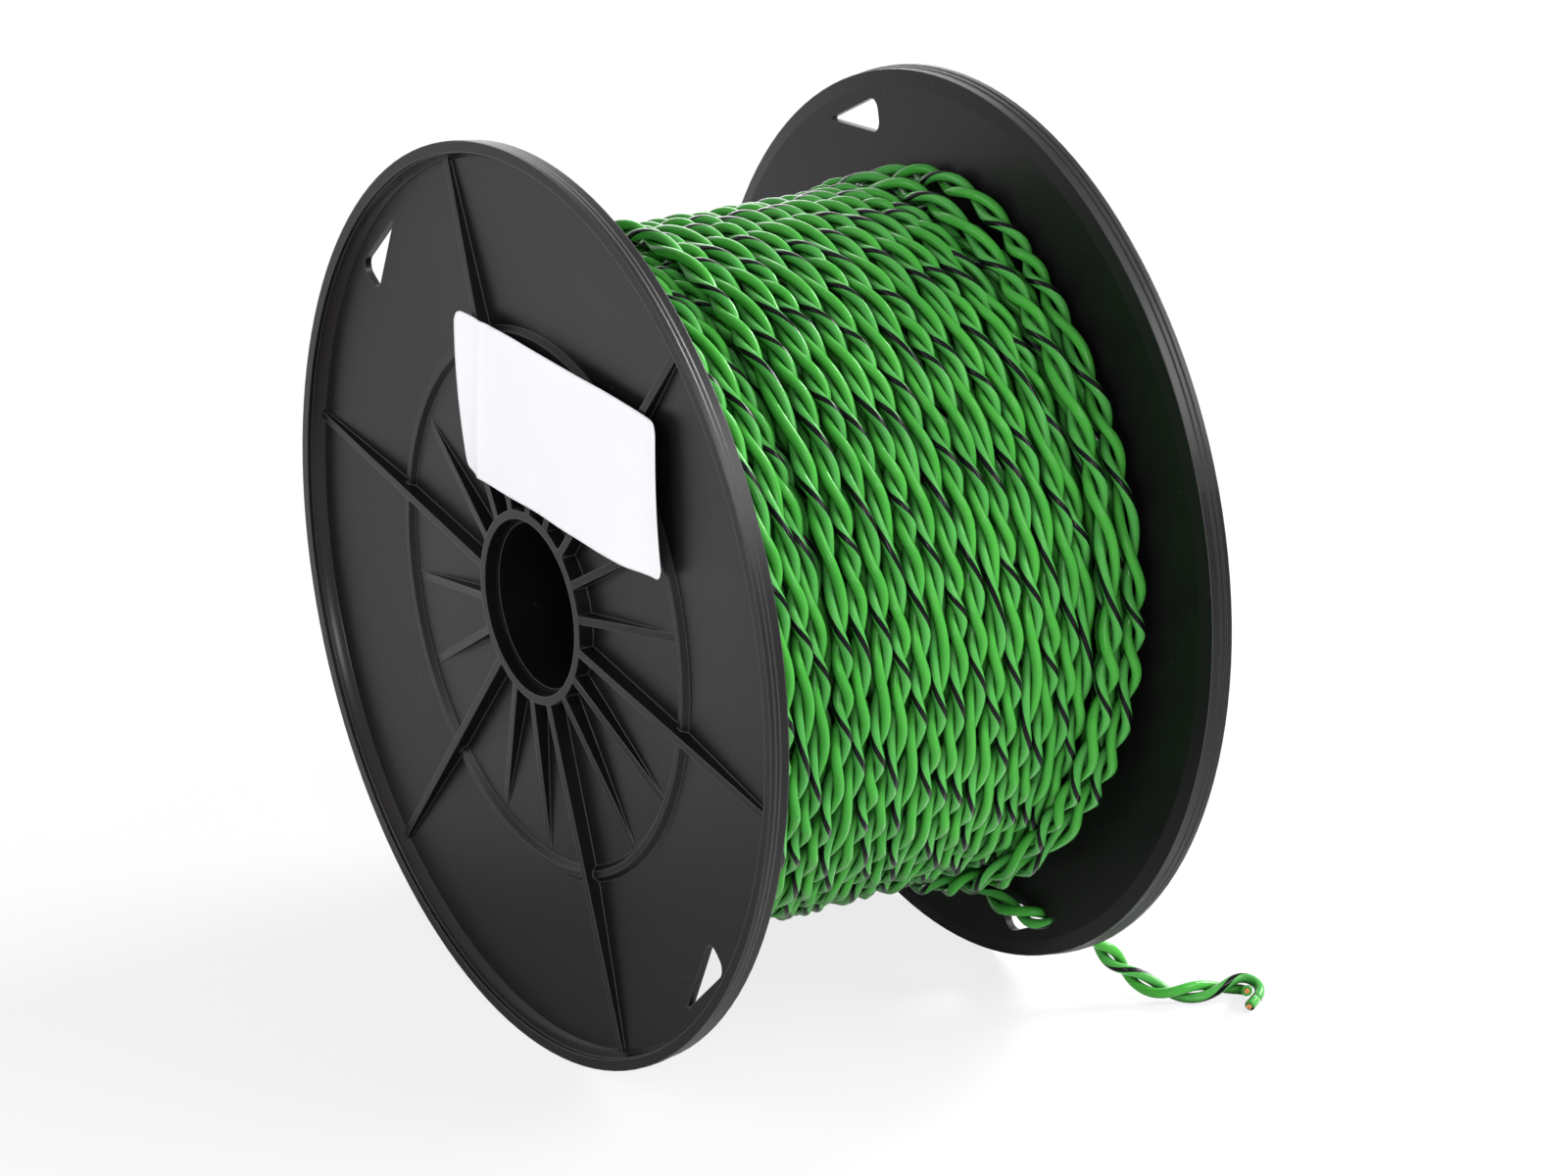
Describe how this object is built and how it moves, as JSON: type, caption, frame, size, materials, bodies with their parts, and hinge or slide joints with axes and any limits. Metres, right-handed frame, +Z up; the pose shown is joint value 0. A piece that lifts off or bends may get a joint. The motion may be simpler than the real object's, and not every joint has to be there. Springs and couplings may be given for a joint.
{
  "type": "wire spool",
  "caption": "Black plastic spool with two ribbed flanges, wound with a twisted pair of green insulated wires whose end leaves through a hole in the rear flange.",
  "frame": {"origin": "middle of the bore, halfway between the flanges", "axes": "+Y along the bore from the labelled front flange to the rear flange, +Z up, +X to the right seen from the front"},
  "size_m": [0.2, 0.1456, 0.2],
  "materials": {
    "flange_plastic": "satin injection-moulded black plastic",
    "core_plastic": "black plastic tube",
    "wire_green": "green insulation with a soft sheen",
    "wire_striped": "green insulation with one narrow black stripe",
    "label_paper": "bare white paper label",
    "copper": "bare copper strands"
  },
  "bodies": {
    "root": {"front_flange": "flange_plastic", "rear_flange": "flange_plastic", "core_tube": "core_plastic", "winding_core": "wire_green", "winding_turns": "wire_green", "wire_tail": "wire_green", "plain_core_end": "wire_green", "striped_core_end": "wire_striped", "plain_conductor": "copper", "striped_conductor": "copper", "label": "label_paper"}
  },
  "joints": []
}
